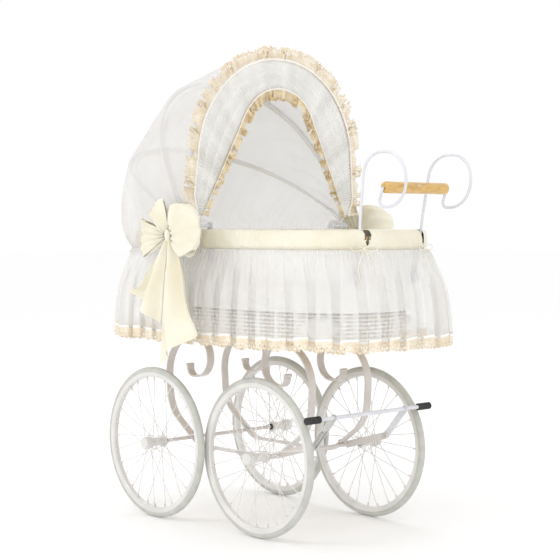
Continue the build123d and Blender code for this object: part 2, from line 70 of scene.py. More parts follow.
CENTRE_X = (pad_low.x + pad_high.x) / 2
PLAN_POWER = 3.0                      # the basket's plan is a superellipse
PAD_OUT = np.array([(pad_high.x - pad_low.x) / 2, (pad_high.y - pad_low.y) / 2])
PAD_IN = PAD_OUT - 0.044
WALL_TOP = np.array([(wall_high.x - wall_low.x) / 2, (wall_high.y - wall_low.y) / 2])
WALL_FOOT = WALL_TOP - [0.032, 0.030]
SKIRT_TOP = PAD_OUT + 0.001
SKIRT_HEM = np.array([(skirt_high.x - skirt_low.x) / 2, (skirt_high.y - skirt_low.y) / 2])
SKIRT_TOP_Z = skirt_high.z
SKIRT_HEM_Z = lace_high.z
LACE_DROP = lace_high.z - lace_low.z

HINGE = np.array(JOINTS["hood_fold"]["pos_m"])
HOOP_ANGLES = (92.0, 60.25, 28.5)     # front, middle and rear hoop, up from the back
HOOP_STEP = 0.0065                    # each hoop nests inside the one behind
ARCH = (0.290, 0.442, 0.255)          # half width, height over the hinge, half width at the foot
ARCH_KNEE = 0.075
ARCH_SHOULDER = 0.88                  # the arch draws in towards its shoulders
BRIM_AHEAD = 0.0036


# ---------------------------------------------------------------- small tools
def smooth(value):
    value = np.clip(value, 0, 1)
    return value * value * (3 - 2 * value)


def wander(share, seed, waves=(2, 3, 5, 7)):
    """A slow, closed, repeatable wobble between about -1 and 1 round the pram."""
    draw = np.random.default_rng(seed)
    total = 0
    for wave in waves:
        total = total + draw.uniform(0.4, 1) * np.sin(2 * pi * (wave * share + draw.uniform()))
    return total / len(waves) * 1.4


def link(name, data):
    """Puts a mesh, lamp or camera into the scene as an object."""
    made = bpy.data.objects.new(name, data)
    bpy.context.scene.collection.objects.link(made)
    return made


def smooth_faces(piece):
    piece.data.polygons.foreach_set("use_smooth", np.ones(len(piece.data.polygons), bool))
    piece.data.update()


def mesh_piece(name, points, faces, material, slot):
    mesh = bpy.data.meshes.new(name)
    faces = faces if isinstance(faces, list) else faces.tolist()
    mesh.from_pydata(np.asarray(points).reshape(-1, 3).tolist(), [], faces)
    piece = link(name, mesh)
    piece.data.materials.append(material)
    smooth_faces(piece)
    return piece


def grid_faces(rows, columns, closed=False, tube=False, cut=None):
    """Quads of a grid whose points are numbered row by row. cut marks the quads left out."""
    row = np.arange(rows if tube else rows - 1)
    column = np.arange(columns if closed else columns - 1)
    row, column = np.meshgrid(row, column, indexing="ij")
    if cut is not None:
        row, column = row[~cut], column[~cut]
    row, column = row.ravel(), column.ravel()
    after, beside = (row + 1) % rows, (column + 1) % columns
    return np.stack([row * columns + column, row * columns + beside,
                     after * columns + beside, after * columns + column], axis=1)


def grid_piece(name, points, material, slot, closed=False, tube=False, cut=None):
    """A cloth from a rows x columns grid of points."""
    rows, columns = points.shape[:2]
    faces = grid_faces(rows, columns, closed, tube, cut)
    return mesh_piece(name, points, faces, material, slot)


def many_piece(name, grids, material, slot, **form):
    """One piece from several grids of one size, such as a set of rods or strands."""
    grids = np.stack(grids)
    rows, columns = grids.shape[1:3]
    first = np.arange(len(grids))[:, None, None] * rows * columns
    faces = (grid_faces(rows, columns, **form) + first).reshape(-1, 4)
    return mesh_piece(name, grids, faces, material, slot)


def drop_loose(piece):
    """Removes the points that no face uses, as inside a lace's holes."""
    used = np.zeros(len(piece.data.vertices), bool)
    corners = np.zeros(len(piece.data.loops), np.int32)
    piece.data.loops.foreach_get("vertex_index", corners)
    used[corners] = True
    if used.all():
        return piece
    shape = bmesh.new()
    shape.from_mesh(piece.data)
    shape.verts.ensure_lookup_table()
    bmesh.ops.delete(shape, geom=[v for v in shape.verts if not used[v.index]], context="VERTS")
    shape.to_mesh(piece.data)
    shape.free()
    return piece


def length_of(line):
    return float(np.linalg.norm(np.diff(line, axis=0), axis=1).sum())


def radius_at(turn, half):
    """How far the plan, a superellipse of these half sizes, lies from its middle."""
    reach = np.abs(np.cos(turn) / half[0]) ** PLAN_POWER + np.abs(np.sin(turn) / half[1]) ** PLAN_POWER
    return reach ** (-1 / PLAN_POWER)


def run_along(line):
    """The distance from a line's start to each of its points."""
    return np.concatenate([[0], np.cumsum(np.linalg.norm(np.diff(line, axis=0), axis=1))])


def turns(first, last, half, shares):
    """Turns about the basket's middle, spaced evenly by length along its plan."""
    turn = np.linspace(first, last, 4001)
    radius = radius_at(turn, half)
    line = np.stack([radius * np.cos(turn), radius * np.sin(turn)], axis=1)
    along = run_along(line)
    return np.interp(shares, along / along[-1], turn)


def plan(turn, half_x, half_y, z, out=0.0, shift=0.0):
    """Points round the basket. out is along the plan's outward normal, shift along its tangent."""
    half = (half_x, half_y)
    radius = radius_at(turn, half)
    x, y = radius * np.cos(turn), radius * np.sin(turn)
    nx = np.sign(x) * (np.abs(x) / half_x) ** (PLAN_POWER - 1) / half_x
    ny = np.sign(y) * (np.abs(y) / half_y) ** (PLAN_POWER - 1) / half_y
    size = np.hypot(nx, ny)
    nx, ny = nx / size, ny / size
    return np.stack(np.broadcast_arrays(CENTRE_X + x + nx * out - ny * shift,
                                        y + ny * out + nx * shift, z), axis=-1)


def around(count):
    return np.arange(count) / count


def tube_points(path, radius, sides=8):
    """Rings round an open path of points, for a rod or a strand."""
    path = np.asarray(path, float)
    heading = np.gradient(path, axis=0)
    heading /= np.linalg.norm(heading, axis=1)[:, None]
    guide = np.array([0.13, 0.31, 0.94])
    first = np.cross(heading, guide)
    first /= np.linalg.norm(first, axis=1)[:, None]
    second = np.cross(heading, first)
    turn = 2 * pi * around(sides)
    ring = np.cos(turn)[None, :, None] * first[:, None] + np.sin(turn)[None, :, None] * second[:, None]
    return path[:, None] + ring * np.reshape(radius, (-1, 1, 1))


BLUR = np.hanning(13) / np.hanning(13).sum()


def eased_line(points, count, **padding):
    """A line of count points that runs smoothly by listed points."""
    points = np.array(points, float)
    knots, fine = np.linspace(0, 1, len(points)), np.linspace(0, 1, count)
    lines = [np.interp(fine, knots, points[:, axis]) for axis in range(3)]
    return np.stack([np.convolve(np.pad(line, len(BLUR) // 2, **padding), BLUR, "valid")
                     for line in lines], axis=1)


def tube(name, path, radius, material, slot, sides=8):
    points = tube_points(path, np.broadcast_to(radius, len(path)), sides)
    faces = grid_faces(len(path), sides, closed=True).tolist()
    last = (len(path) - 1) * sides
    faces += [list(range(sides))[::-1], [last + side for side in range(sides)]]
    return mesh_piece(name, points, faces, material, slot)


# ---------------------------------------------------------------- materials
def new_material(name, colour, roughness, **sockets):
    material = bpy.data.materials.new(name)
    material.use_nodes = True
    shader = material.node_tree.nodes["Principled BSDF"]
    shader.inputs["Base Color"].default_value = (*colour, 1)
    shader.inputs["Roughness"].default_value = roughness
    for socket, value in sockets.items():
        shader.inputs[socket.replace("_", " ")].default_value = value
    return material, material.node_tree, shader


def texture(tree, kind, scale, stretch=(1, 1, 1), **sockets):
    """A procedural texture on object coordinates."""
    nodes, links = tree.nodes, tree.links
    place = nodes.new("ShaderNodeTexCoord")
    mapping = nodes.new("ShaderNodeMapping")
    mapping.inputs["Scale"].default_value = stretch
    made = nodes.new(kind)
    made.inputs["Scale"].default_value = scale
    for socket, value in sockets.items():
        made.inputs[socket.replace("_", " ")].default_value = value
    links.new(place.outputs["Object"], mapping.inputs["Vector"])
    links.new(mapping.outputs["Vector"], made.inputs["Vector"])
    return made


def tint(tree, shader, source, low, high, span=(0.35, 0.65)):
    """Colours the surface between two colours by a texture."""
    ramp = tree.nodes.new("ShaderNodeValToRGB")
    ramp.color_ramp.elements[0].position, ramp.color_ramp.elements[1].position = span
    ramp.color_ramp.elements[0].color = (*low, 1)
    ramp.color_ramp.elements[1].color = (*high, 1)
    tree.links.new(source, ramp.inputs["Fac"])
    tree.links.new(ramp.outputs["Color"], shader.inputs["Base Color"])


def rub(tree, shader, source, low, high):
    """Varies the roughness by a texture."""
    span = tree.nodes.new("ShaderNodeMapRange")
    span.inputs["To Min"].default_value = low
    span.inputs["To Max"].default_value = high
    tree.links.new(source, span.inputs["Value"])
    tree.links.new(span.outputs["Result"], shader.inputs["Roughness"])


def relief(tree, shader, source, depth, strength=0.5, over=None):
    bump = tree.nodes.new("ShaderNodeBump")
    bump.inputs["Distance"].default_value = depth
    bump.inputs["Strength"].default_value = strength
    tree.links.new(source, bump.inputs["Height"])
    if over is not None:
        tree.links.new(over.outputs["Normal"], bump.inputs["Normal"])
    tree.links.new(bump.outputs["Normal"], shader.inputs["Normal"])
    return bump


def weave(tree, shader, pitch, depth, strength=0.5):
    """Crossing threads at a real pitch, on the object's three axes."""
    scale = 1 / pitch / 3.2
    threads = []
    for direction in ("X", "Y", "Z"):
        wave = texture(tree, "ShaderNodeTexWave", scale, Distortion=0.6, Detail=1.0)
        wave.bands_direction = direction
        threads.append(wave.outputs["Fac"])
    total = threads[0]
    for thread in threads[1:]:
        add = tree.nodes.new("ShaderNodeMath")
        add.operation = "ADD"
        tree.links.new(total, add.inputs[0])
        tree.links.new(thread, add.inputs[1])
        total = add.outputs[0]
    return relief(tree, shader, total, depth, strength)


def fabric(name, low, high, roughness, pitch, sheen, alpha=1.0, crinkle=0.0006, patch=9.0):
    material, tree, shader = new_material(name, high, roughness, Sheen_Weight=sheen,
                                          Sheen_Roughness=0.45, Alpha=alpha, Specular_IOR_Level=0.25)
    # The cloud tints each cloth at random between its two colours. For the cream satin the darker end is
    # painted fold shade.
    cloud = texture(tree, "ShaderNodeTexNoise", patch, Detail=4.0)
    tint(tree, shader, cloud.outputs["Fac"], low, high)
    threads = weave(tree, shader, pitch, 0.00012)
    soft = texture(tree, "ShaderNodeTexNoise", 70, Detail=3.0)
    relief(tree, shader, soft.outputs["Fac"], crinkle, 0.5, over=threads)
    return material


def enamel_material(name, low, high):
    material, tree, shader = new_material(name, high, 0.3, Coat_Weight=0.35, Coat_Roughness=0.15)
    cloud = texture(tree, "ShaderNodeTexNoise", 14, Detail=5.0)
    tint(tree, shader, cloud.outputs["Fac"], low, high)
    peel = texture(tree, "ShaderNodeTexNoise", 420, Detail=2.0)
    rub(tree, shader, peel.outputs["Fac"], 0.24, 0.42)
    relief(tree, shader, peel.outputs["Fac"], 0.0001, 0.35)
    return material


def tyre_material():
    material, tree, shader = new_material("pale_tyre", (0.66, 0.68, 0.62), 0.7)
    cloud = texture(tree, "ShaderNodeTexNoise", 30, Detail=6.0)
    tint(tree, shader, cloud.outputs["Fac"], (0.50, 0.505, 0.465), (0.58, 0.585, 0.54))
    grain = texture(tree, "ShaderNodeTexNoise", 900, Detail=3.0)
    rub(tree, shader, grain.outputs["Fac"], 0.6, 0.85)
    relief(tree, shader, grain.outputs["Fac"], 0.0002, 0.5)
    return material


def rubber_material():
    material, tree, shader = new_material("black_rubber", (0.02, 0.02, 0.021), 0.55)
    dust = texture(tree, "ShaderNodeTexNoise", 120, Detail=5.0)
    tint(tree, shader, dust.outputs["Fac"], (0.014, 0.014, 0.015), (0.035, 0.035, 0.036))
    rub(tree, shader, dust.outputs["Fac"], 0.45, 0.7)
    relief(tree, shader, dust.outputs["Fac"], 0.0002, 0.4)
    return material


def zinc_material():
    material, tree, shader = new_material("zinc", (0.60, 0.60, 0.58), 0.34, Metallic=1.0)
    spangle = texture(tree, "ShaderNodeTexVoronoi", 260)
    tint(tree, shader, spangle.outputs["Distance"], (0.52, 0.52, 0.51), (0.68, 0.68, 0.66), (0.1, 0.7))
    scratch = texture(tree, "ShaderNodeTexNoise", 160, (1, 1, 9), Detail=4.0)
    rub(tree, shader, scratch.outputs["Fac"], 0.26, 0.48)
    relief(tree, shader, scratch.outputs["Fac"], 0.00008, 0.4)
    return material


def wicker_material(name, low, high):
    material, tree, shader = new_material(name, high, 0.55)
    cloud = texture(tree, "ShaderNodeTexNoise", 55, (1, 1, 2.5), Detail=6.0)
    tint(tree, shader, cloud.outputs["Fac"], low, high, (0.28, 0.55))
    fibre = texture(tree, "ShaderNodeTexNoise", 300, (1, 1, 6), Detail=4.0)
    rub(tree, shader, fibre.outputs["Fac"], 0.42, 0.7)
    relief(tree, shader, fibre.outputs["Fac"], 0.0004, 0.6)
    return material


def wood_material(name, dark, pale, scale, ring, roughness, coat):
    material, tree, shader = new_material(name, pale, roughness, Coat_Weight=coat, Coat_Roughness=0.12)
    grain = texture(tree, "ShaderNodeTexNoise", scale, (ring, 1, ring), Detail=7.0, Distortion=0.6)
    tint(tree, shader, grain.outputs["Fac"], dark, pale, (0.32, 0.66))
    rub(tree, shader, grain.outputs["Fac"], roughness, roughness + 0.15)
    pores = texture(tree, "ShaderNodeTexNoise", scale * 9, (ring, 1, ring), Detail=3.0)
    relief(tree, shader, pores.outputs["Fac"], 0.0002, 0.4)
    return material


ENAMEL = enamel_material("white_enamel", (0.62, 0.58, 0.55), (0.70, 0.66, 0.63))
SPOKE = enamel_material("spoke_enamel", (0.68, 0.665, 0.64), (0.77, 0.755, 0.73))
ROD = enamel_material("rod_enamel", (0.64, 0.65, 0.69), (0.73, 0.74, 0.78))
TYRE = tyre_material()
RUBBER = rubber_material()
ZINC = zinc_material()
WICKER = wicker_material("wicker", (0.74, 0.68, 0.56), (0.95, 0.93, 0.88))
WILLOW = wicker_material("bare_willow", (0.42, 0.28, 0.13), (0.74, 0.58, 0.34))
PLYWOOD = wood_material("plywood", (0.50, 0.36, 0.20), (0.72, 0.57, 0.37), 22, 3, 0.6, 0.0)
HONEY = wood_material("honey_wood", (0.50, 0.28, 0.06), (0.74, 0.47, 0.13), 26, 6, 0.22, 0.7)
# cream satin: a random cloud blends cream with a darker, deeper yellow. That darker yellow is painted shade,
# the colour of shadowed folds, laid in random patches rather than in the folds.
SATIN = fabric("cream_satin", (0.79, 0.73, 0.57), (0.87, 0.84, 0.71), 0.40, 0.0007, 0.3, crinkle=0.0010)
CHIFFON = fabric("white_chiffon", (0.78, 0.755, 0.73), (0.87, 0.85, 0.83), 0.75, 0.0006, 0.2, alpha=0.46)
ORGANZA = fabric("white_organza", (0.86, 0.845, 0.82), (0.92, 0.91, 0.89), 0.7, 0.0006, 0.2, alpha=0.40)
GAUZE = fabric("white_gauze", (0.86, 0.85, 0.82), (0.93, 0.92, 0.90), 0.75, 0.0006, 0.2, alpha=0.92)
LACE = fabric("ecru_lace", (0.76, 0.64, 0.47), (0.88, 0.80, 0.66), 0.8, 0.0010, 0.25,
              crinkle=0.001, patch=45)
GOLD_LACE = fabric("gold_lace", (0.62, 0.46, 0.24), (0.84, 0.71, 0.48), 0.8, 0.0010, 0.25,
                   crinkle=0.001, patch=45)
COTTON = fabric("white_cotton", (0.86, 0.85, 0.83), (0.92, 0.91, 0.895), 0.8, 0.0008, 0.2)
VEIL = fabric("hood_lawn", (0.93, 0.925, 0.91), (0.97, 0.965, 0.955), 0.8, 0.0008, 0.2, alpha=0.34)
RIBBON = fabric("white_ribbon", (0.88, 0.86, 0.82), (0.95, 0.94, 0.91), 0.35, 0.0007, 0.4)

CAD_FINISHES = {
    ENAMEL: ("axle", "side_frame", "cross_rails", "brake_brackets"),
    SPOKE: ("spokes", "cap", "hub", "rim"),
    ROD: ("handle_rod", "hoop", "hood_pivots", "brake_levers", "brake_bar", "handle_clips"),
    TYRE: ("tyre",),
    RUBBER: ("axle_washers",),
    ZINC: ("frame_bolts", "brake_pivot_bolts", "grip_spindle"),
    PLYWOOD: ("base_board",),
    HONEY: ("wooden_grip",),
}


def finish_cad_nodes():
    """Gives every CAD node that stays its own material."""
    for name, node in NODES.items():
        for material, endings in CAD_FINISHES.items():
            if name.endswith(endings):
                node.data.materials.clear()
                node.data.materials.append(material)
    levers = NODES["brake_levers"].data
    levers.materials.append(ZINC)         # the left lever is bare zinc, the right one is painted
    for face in levers.polygons:
        face.material_index = int(face.center.y < 0)


# ---------------------------------------------------------------- lace
TILE = 0.0125                         # one scallop of the lace
CELLS = 8                             # grid cells along and across one scallop


def lace_piece(name, place, length, closed=False, thread=LACE):
    """An eyelet lace strip. place(distance, down) gives points, with down 0 at the header."""
    tiles = max(1, round(length / TILE))
    columns = tiles * CELLS + (0 if closed else 1)
    distance = np.arange(columns) / (tiles * CELLS) * length
    across = np.arange(columns) % CELLS
    scallop = 0.85 + 0.15 * np.abs(np.sin(pi * across / CELLS))
    down = np.linspace(0, 1, CELLS + 1)[:, None] * scallop
    step = np.broadcast_to(distance, down.shape).copy()
    pitch = length / (tiles * CELLS)
    for row in (4, 6):                # the corners of each big eyelet pull in, so it is round
        for corner, pull in ((3, 0.22), (5, -0.22)):
            at = across == corner
            step[row, at] += pull * pitch
            down[row, at] += (0.22 if row == 4 else -0.22) / CELLS
    cells = columns if closed else columns - 1
    cell = np.arange(cells) % CELLS
    cut = np.zeros((CELLS, cells), bool)
    cut[4:6, (cell == 3) | (cell == 4)] = True
    cut[2, (cell == 1) | (cell == 6)] = True
    cut[6, (cell == 0) | (cell == 7)] = True
    piece = grid_piece(name, place(step, down), thread, "ecru_lace", closed=closed, cut=cut)
    return drop_loose(piece)


# ---------------------------------------------------------------- skirt, its lace and the flap
FOLDS = 44
SWING = 0.0190                        # how far a fold stands in and out at the hem
LAP = 0.0135                          # how far its flanks lap


RIM_SHARES = np.linspace(0, 1, 4001)
RIM_TURNS = turns(0, 2 * pi, PAD_OUT, RIM_SHARES)


def turn_at(share):
    """The turn about the basket's middle at a share of the way round the rim."""
    return np.interp(share, RIM_SHARES, RIM_TURNS)


def skirt_points(share, drop, out=0.0):
    """A point of the gathered skirt. drop is 0 at the rim, 1 at the ribbon, more on the lace."""
    turn = turn_at(share)
    fall = np.clip(drop, 0, 1)
    flare = 1 - (1 - fall) ** 2.3 + 0.03 * np.maximum(drop - 1, 0)
    half_x = SKIRT_TOP[0] + (SKIRT_HEM[0] - SKIRT_TOP[0]) * flare
    half_y = SKIRT_TOP[1] + (SKIRT_HEM[1] - SKIRT_TOP[1]) * flare
    phase = 2 * pi * FOLDS * share + 2.2 * wander(share, 3) + 0.5 * drop * wander(share, 4, (5, 9, 13))
    size = 0.80 + 0.40 * wander(share, 5, (7, 11, 17))
    grown = smooth(drop * 1.7 + 0.12) * (0.62 + 0.38 * np.minimum(drop, 1)) * size
    fine = (1 - fall) ** 3 * 0.0030
    deep = SWING * grown * np.cos(phase) + fine * np.cos(5 * phase + 4 * wander(share, 6))
    slide = LAP * grown * (np.sin(2 * phase) + 0.7 * wander(share, 8, (9, 14)) * np.cos(phase))
    lift = 0.0045 * np.cos(phase - 0.6) + 0.0040 * wander(share, 9, (9, 14, 23))
    z = SKIRT_TOP_Z - drop * (SKIRT_TOP_Z - SKIRT_HEM_Z) + lift * smooth(drop) * size
    return plan(turn, half_x, half_y, z, deep + out, slide)


def make_skirt():
    share = around(FOLDS * 40)[None, :]
    drop = np.linspace(0, 1, 34)[:, None]
    points = skirt_points(share, drop)
    skirt = grid_piece("skirt_cloth", points, ORGANZA, "white_chiffon", closed=True)
    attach(skirt, "chassis")
    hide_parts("skirt")
    dense = np.linspace(0, 1, 24001)
    hem = skirt_points(dense, np.ones(1))
    along = run_along(hem)

    def place(distance, down):
        share = np.interp(distance, along, dense)
        return skirt_points(share, 1 + down * LACE_DROP / (SKIRT_TOP_Z - SKIRT_HEM_Z))

    lace = lace_piece("hem_lace_strip", place, along[-1], closed=True)
    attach(lace, "chassis")
    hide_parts("hem_lace")
    band = skirt_points(around(FOLDS * 30)[None, :], np.linspace(0.972, 1.0, 3)[:, None], 0.0007)
    ribbon = grid_piece("hem_ribbon", band, RIBBON, "cream_satin", closed=True)
    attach(ribbon, "chassis")


def wall_sizes(z):
    """The wicker wall's half sizes at a height."""
    share = (z - wall_low.z) / (wall_high.z - wall_low.z)
    return [WALL_FOOT[axis] + share * (WALL_TOP[axis] - WALL_FOOT[axis]) for axis in (0, 1)]


FLAP_FOLDS = 96
TUCK_GAP, TUCK_SIZE = 0.008, 0.0016


def make_flap():
    """The white cotton liner turned down over the wicker, with a double tuck above its hem."""
    top, hem, tuck = pad_low.z + 0.004, 0.565, 0.640
    share = around(1500)[None, :]
    turn = turn_at(share)
    z = np.linspace(top, hem, 76)[:, None]
    fall = (top - z) / (top - hem)
    folds = 2 * pi * FLAP_FOLDS * share + 3 * wander(share, 11)
    ripple = (0.0006 + 0.0028 * smooth(fall)) * np.cos(folds) * (0.8 + 0.5 * wander(share, 12, (5, 8, 13)))
    tucks = sum(np.exp(-((z - at) / TUCK_SIZE) ** 2) for at in (tuck, tuck - TUCK_GAP)) * TUCK_SIZE
    half_x, half_y = wall_sizes(z)
    points = plan(turn, half_x, half_y, z, 0.0065 + ripple + tucks, 0.0022 * np.sin(folds) * smooth(fall))
    flap = grid_piece("liner_flap", points, COTTON, "white_cotton", closed=True)
    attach(flap, "chassis")
    length_of(points[-1])


# ---------------------------------------------------------------- wicker
STAKES = 132
ROW_PITCH = 0.0098
BORDER_Z = (pad_low.z + pad_high.z) / 2
STRAND = (0.0019, 0.0032)             # half thickness and half height of a woven strand
WALL_HALF = 0.004                     # half the wall's thickness
BORDER_TURNS = 90


def make_wicker():
    rows = int((wall_high.z - wall_low.z - 2 * STRAND[1]) / ROW_PITCH) + 1
    share = around(STAKES * 3)
    turn = turn_at(share)
    strands = []
    for row in range(rows):
        z = wall_low.z + STRAND[1] + row * ROW_PITCH
        half_x, half_y = wall_sizes(z)
        over = 0.0021 * np.cos(pi * STAKES * share + row * pi)
        thick = STRAND[0] * (1 + 0.14 * wander(share, 40 + row, (9, 17, 31)))
        lift = 0.0004 * wander(share, 90 + row, (7, 19, 29))
        strands.append([plan(turn, half_x, half_y, z + lift + STRAND[1] * sin(a),
                             over - WALL_HALF + thick * cos(a)) for a in 2 * pi * around(5)])
    wall = many_piece("wicker_weave", strands, WICKER, "wicker", closed=True, tube=True)
    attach(wall, "chassis")
    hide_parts("wicker_basket")
    z = np.linspace(wall_low.z + 0.001, wall_high.z - 0.003, 3)
    half_x, half_y = wall_sizes(z)
    stakes = [tube_points(plan(turn_at(share), half_x, half_y, z, -WALL_HALF), np.full(3, 0.0017), 6)
              for share in around(STAKES)]
    posts = many_piece("wicker_stakes", stakes, WICKER, "wicker", closed=True)
    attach(posts, "chassis")


def make_border():
    """The twisted border along the wall's top, inside the pad, seen in the notches at the handle."""
    share = around(1800)
    turn = turn_at(share)
    middle = PAD_OUT - 0.018
    strands = []
    for strand in range(3):
        twist = 2 * pi * (BORDER_TURNS * share + strand / 3)
        strands.append([plan(turn, middle[0], middle[1],
                             BORDER_Z + 0.0052 * np.sin(twist) + 0.0042 * sin(a),
                             0.0052 * np.cos(twist) + 0.0042 * cos(a)) for a in 2 * pi * around(6)])
    border = many_piece("wicker_border", strands, WILLOW, "wicker", closed=True, tube=True)
    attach(border, "chassis")


# ---------------------------------------------------------------- rim pad and inside of the basket
NOTCH_HALF = 0.0085                   # the pad is open round each handle rod, down to NOTCH_LOW
NOTCH_LOW = pad_low.z + 0.010
NOTCH_ROUND = 0.02                    # the height over which a notch opens to its full width
PUCKERS = 170
LINER_FOLDS = 74


def make_rim_pad():
    """The cream padded tube round the rim: crowned, lightly puckered, seamed along its top edge."""
    share = around(1440)[None, :]
    turn = turn_at(share)
    section = 2 * pi * around(36)[:, None]
    half_t, half_z = (PAD_OUT[0] - PAD_IN[0]) / 2, (pad_high.z - pad_low.z) / 2
    power = 2 / 3.2
    reach = np.sign(np.cos(section)) * np.abs(np.cos(section)) ** power
    height = np.sign(np.sin(section)) * np.abs(np.sin(section)) ** power
    pucker = 2 * pi * PUCKERS * share + 7 * wander(share, 21, (7, 12, 23))
    outside = smooth(reach)
    wrinkle = (0.0007 * np.cos(pucker + 2.4 * height) * (0.6 + 0.6 * wander(share, 22, (5, 9, 21)))
               + 0.0013 * wander(share + 0.012 * height, 23, (19, 27, 41, 53)))
    pinch = 0.0016 * np.exp(-((height - 0.72) / 0.07) ** 2) * outside
    out = half_t * reach + (wrinkle - pinch) * np.abs(reach)
    z = (pad_low.z + pad_high.z) / 2 + half_z * height + wrinkle * 0.6 * height
    middle = PAD_OUT - half_t
    points = plan(turn, middle[0], middle[1], z, out)
    cut = np.zeros(points.shape[:2], bool)
    for label in ("left", "right"):
        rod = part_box(f"{label}_handle_rod")
        rod_y = rod[0].y if rod[0].y > 0 else rod[1].y
        rise = np.clip(points[..., 2] - NOTCH_LOW, 0, NOTCH_ROUND) / NOTCH_ROUND
        aside = np.abs(points[..., 1] - rod_y) < NOTCH_HALF * np.sqrt(rise)
        cut |= aside & (points[..., 0] > CENTRE_X + PAD_IN[0] * 0.9) & (points[..., 2] > NOTCH_LOW)
    pad = drop_loose(grid_piece("rim_pad_cover", points, SATIN, "cream_satin", closed=True,
                                tube=True, cut=cut))
    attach(pad, "chassis")
    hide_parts("rim_pad")


def make_liner():
    """The gathered cotton that lines the basket's inside, down to the mattress and under it."""
    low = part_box("basket_liner")[0].z + 0.003
    high = pad_low.z + 0.030
    share = around(900)[None, :]
    turn = turn_at(share)
    z = np.linspace(high, low, 30)[:, None]
    fall = (high - z) / (high - low)
    folds = 2 * pi * LINER_FOLDS * share + 3 * wander(share, 31)
    half_x, half_y = wall_sizes(z)
    points = plan(turn, half_x, half_y, z, -0.0125 - 0.0035 * np.cos(folds) * smooth(1.2 - fall))
    liner = grid_piece("inner_liner", points, COTTON, "white_cotton", closed=True)
    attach(liner, "chassis")
    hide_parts("basket_liner")
    length_of(points[0])


# ---------------------------------------------------------------- hood
def fillet_line(corners, radii, count=24):
    """A line through corners, each rounded by an arc of its radius."""
    corners = [np.array(corner, float) for corner in corners]
    line = [corners[0]]
    for before, at, after, radius in zip(corners, corners[1:], corners[2:], radii):
        back, ahead = before - at, after - at
        back, ahead = back / np.linalg.norm(back), ahead / np.linalg.norm(ahead)
        half = np.arccos(np.clip(back @ ahead, -1, 1)) / 2
        middle = back + ahead
        centre = at + middle / np.linalg.norm(middle) * radius / np.sin(half)
        first = at + back * radius / np.tan(half) - centre
        last = at + ahead * radius / np.tan(half) - centre
        sweep = np.arccos(np.clip(first @ last / radius ** 2, -1, 1))
        for share in np.linspace(0, 1, count):
            blend = first * np.sin((1 - share) * sweep) + last * np.sin(share * sweep)
            line.append(centre + blend / np.sin(sweep))
    line.append(corners[-1])
    return np.array(line)


def spread(line, shares):
    """Points at even shares of a line's length."""
    along = run_along(line)
    return np.stack([np.interp(shares, along / along[-1], line[:, axis]) for axis in range(2)], axis=-1)


def arch_line(grow=0.0, foot_height=0.010, half=ARCH[0], top=ARCH[1], foot=ARCH[2], corner=0.276):
    """The hoop's outline from its left foot to its right foot, as (sideways, away from the hinge)."""
    half, top, foot = half + grow, top + grow, foot + grow
    start = foot + (foot_height - 0.008) / (ARCH_KNEE - 0.008) * (half - foot)
    shoulder = ARCH_SHOULDER * half
    return fillet_line([(-start, foot_height), (-half, ARCH_KNEE), (-shoulder, top), (shoulder, top),
                        (half, ARCH_KNEE), (start, foot_height)], (0.05, corner, corner, 0.05))


def opening_line(grow):
    """The pointed opening of the brim, grown outwards."""
    foot, base = 0.245 + 0.4 * grow, 0.024
    crown = (0.067 + 0.55 * grow, 0.332 + grow)
    radius = 0.112 + 0.8 * grow
    return fillet_line([(-foot, base), (-crown[0], crown[1]), crown, (foot, base)], (radius, radius))


def in_hood(flat, degrees, ahead=0.0):
    """Points of a hood plane at an angle up from the back. ahead is towards the handle."""
    turn = np.radians(degrees)
    x = HINGE[0] - flat[..., 1] * np.cos(turn) + ahead * np.sin(turn)
    z = HINGE[2] + flat[..., 1] * np.sin(turn) + ahead * np.cos(turn)
    return np.stack(np.broadcast_arrays(x, flat[..., 0], z), axis=-1)


HOOD_COLUMNS = 500
HOOD_GATHERS = 74                     # round the hood's base
BAY_ROWS = 22                         # cloth rows from one hoop to the next
BASE_FIRST = -pi / 2 - 0.012          # where the hood's gathered base starts, on the left


def base_points(shares, half, z, out=0.0):
    """The hood's base line on the rim, from the left hinge round the back to the right."""
    turn = turns(BASE_FIRST, -2 * pi - BASE_FIRST, half, shares)
    return plan(turn, half[0], half[1], z, out)


